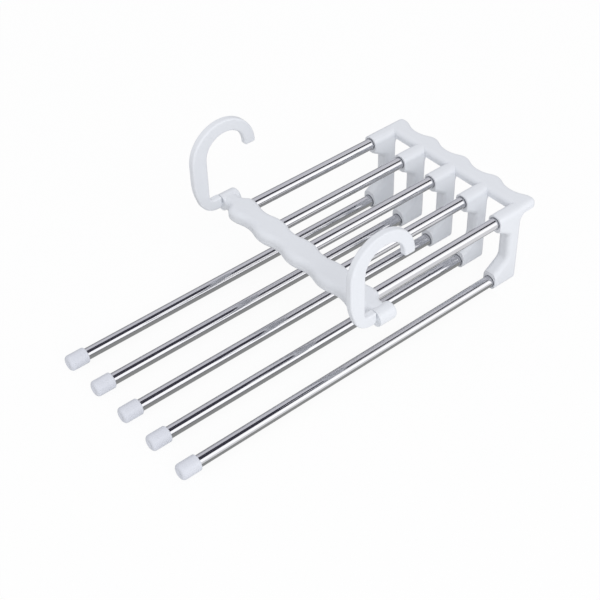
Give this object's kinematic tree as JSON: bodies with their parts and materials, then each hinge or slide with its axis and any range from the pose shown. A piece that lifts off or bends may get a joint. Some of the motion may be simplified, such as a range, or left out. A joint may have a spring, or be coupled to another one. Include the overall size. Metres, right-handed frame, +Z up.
{
  "type": "multi-tier trouser hanger",
  "caption": "Multi-tier trouser hanger: steel tubes in a moulded end comb, open at one side for sliding trousers on, hung from a bar with swivelling hooks.",
  "frame": {"origin": "middle of the overall length and width, on the plane that the caps and the comb's feet stand on", "axes": "+X along the tubes towards the comb, +Y along the hook bar towards the left hook, +Z up"},
  "size_m": [0.3664, 0.2044, 0.1486],
  "materials": {
    "white_plastic": "white moulded plastic, satin gloss",
    "steel_tube": "polished stainless steel"
  },
  "bodies": {
    "rack": {"end_comb": "white_plastic", "hook_bar": "white_plastic", "upper_tube_1": "steel_tube", "upper_tube_2": "steel_tube", "upper_tube_3": "steel_tube", "upper_tube_4": "steel_tube", "upper_tube_5": "steel_tube", "lower_tube_1": "steel_tube", "lower_tube_2": "steel_tube", "lower_tube_3": "steel_tube", "lower_tube_4": "steel_tube", "lower_tube_5": "steel_tube", "end_cap_1": "white_plastic", "end_cap_2": "white_plastic", "end_cap_3": "white_plastic", "end_cap_4": "white_plastic", "end_cap_5": "white_plastic"},
    "left_hook": {"left_hook": "white_plastic"},
    "right_hook": {"right_hook": "white_plastic"}
  },
  "joints": [
    {"name": "left_hook_swivel", "type": "hinge", "parent": "rack", "child": "left_hook", "pos_m": [-0.003, 0.095, 0.06875], "axis": [-1, 0, 0], "range_deg": [-75, 90]},
    {"name": "right_hook_swivel", "type": "hinge", "parent": "rack", "child": "right_hook", "pos_m": [-0.003, -0.095, 0.06875], "axis": [1, 0, 0], "range_deg": [-75, 90]}
  ]
}
